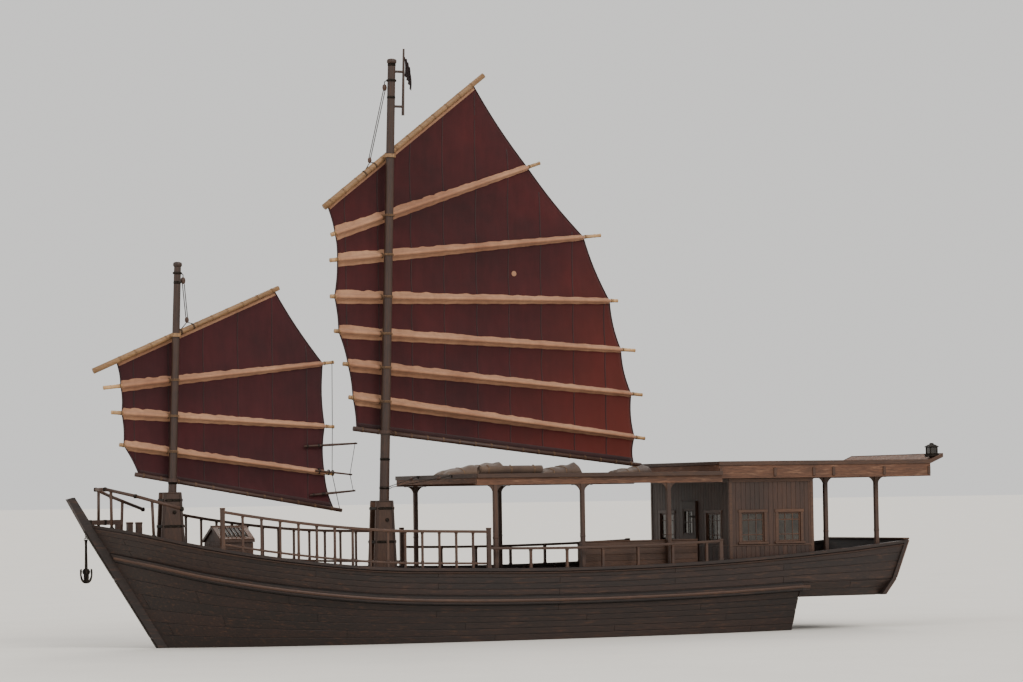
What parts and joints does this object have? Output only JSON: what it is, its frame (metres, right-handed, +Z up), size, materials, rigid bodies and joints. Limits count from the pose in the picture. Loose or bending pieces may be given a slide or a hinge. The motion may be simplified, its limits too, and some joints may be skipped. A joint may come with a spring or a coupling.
{
  "type": "two-masted wooden junk ship",
  "caption": "Wooden junk with battened maroon lug sails on raked masts, a deck canopy, a cabin with a flat roof deck and an overhanging stern gallery.",
  "frame": {"origin": "on the waterline, on the centreline, at mid-length", "axes": "+X towards the bow, +Y to port, +Z up"},
  "size_m": [21.03, 5.08, 14.7306],
  "materials": {
    "hull_wood": "near-black brown stained planking, dull",
    "deck_wood": "weathered brown deck planks, dull",
    "timber": "dark brown stained timber, satin",
    "mast_wood": "dark oiled poles, satin",
    "roof_wood": "brown roof boards, dull",
    "spar_wood": "pale tan poles, satin",
    "sail_cloth": "dark maroon canvas, matt",
    "awning_cloth": "faded canvas, matt",
    "iron": "black painted iron, worn",
    "bronze": "dull bronze"
  },
  "bodies": {
    "boat": {"hull": "hull_wood", "keel": "hull_wood", "stem_post": "hull_wood", "deck": "deck_wood", "bulwark_port": "hull_wood", "bulwark_starboard": "hull_wood", "gallery": "hull_wood", "stern_board": "hull_wood", "balustrade_port": "timber", "balustrade_starboard": "timber", "bow_rail": "timber", "mooring_bitts": "timber", "cathead": "timber", "anchor": "iron", "skylight": "timber", "hatch_coaming": "timber", "bench_port": "timber", "bench_starboard": "timber", "main_mast": "mast_wood", "fore_mast": "mast_wood", "main_tabernacle": "timber", "fore_tabernacle": "timber", "canopy_roof": "roof_wood", "canopy_post_port_1": "timber", "canopy_post_port_2": "timber", "canopy_post_port_3": "timber", "canopy_post_starboard_1": "timber", "canopy_post_starboard_2": "timber", "canopy_post_starboard_3": "timber", "awning_roll": "awning_cloth", "roof_deck": "roof_wood", "aft_post_port_1": "timber", "aft_post_port_2": "timber", "aft_post_starboard_1": "timber", "aft_post_starboard_2": "timber", "cabin_front": "timber", "cabin_back": "timber", "cabin_side_port": "timber", "cabin_side_starboard": "timber"},
    "main_rig": {"main_yard": "spar_wood", "main_batten_1": "spar_wood", "main_batten_2": "spar_wood", "main_batten_3": "spar_wood", "main_batten_4": "spar_wood", "main_batten_5": "spar_wood", "main_batten_6": "spar_wood", "main_boom": "spar_wood", "main_sail": "sail_cloth"},
    "fore_rig": {"fore_yard": "spar_wood", "fore_batten_1": "spar_wood", "fore_batten_2": "spar_wood", "fore_batten_3": "spar_wood", "fore_boom": "spar_wood", "fore_sail": "sail_cloth"},
    "rudder": {"rudder": "timber"},
    "propeller": {"propeller": "bronze"},
    "front_door": {"cabin_door_front": "timber"},
    "back_door": {"cabin_door_back": "timber"},
    "hatch_lid": {"hatch_lid": "timber"}
  },
  "joints": [
    {"name": "main_sail_swing", "type": "hinge", "parent": "boat", "child": "main_rig", "pos_m": [3.06, 0, 1.04], "axis": [-0.0328, 0, 0.9995], "range_deg": [-80, 80]},
    {"name": "fore_sail_swing", "type": "hinge", "parent": "boat", "child": "fore_rig", "pos_m": [8.12, 0, 1.7], "axis": [-0.0353, 0, 0.9994], "range_deg": [-80, 80]},
    {"name": "rudder_turn", "type": "hinge", "parent": "boat", "child": "rudder", "pos_m": [-7.3, 0, 0], "axis": [0, 0, 1], "range_deg": [-35, 35]},
    {"name": "propeller_spin", "type": "hinge", "parent": "boat", "child": "propeller", "pos_m": [-6.776, 0, -0.75], "axis": [1, 0, 0], "continuous": true},
    {"name": "front_door_swing", "type": "hinge", "parent": "boat", "child": "front_door", "pos_m": [-4.8497, 0.37, 1.2], "axis": [0, 0, 1], "range_deg": [0, 90]},
    {"name": "back_door_swing", "type": "hinge", "parent": "boat", "child": "back_door", "pos_m": [-7.0503, 1.42, 1.2], "axis": [0, 0, -1], "range_deg": [0, 90]},
    {"name": "hatch_lid_lift", "type": "hinge", "parent": "boat", "child": "hatch_lid", "pos_m": [4.66, 0, 1.6003], "axis": [0, -1, 0], "range_deg": [0, 95]}
  ]
}
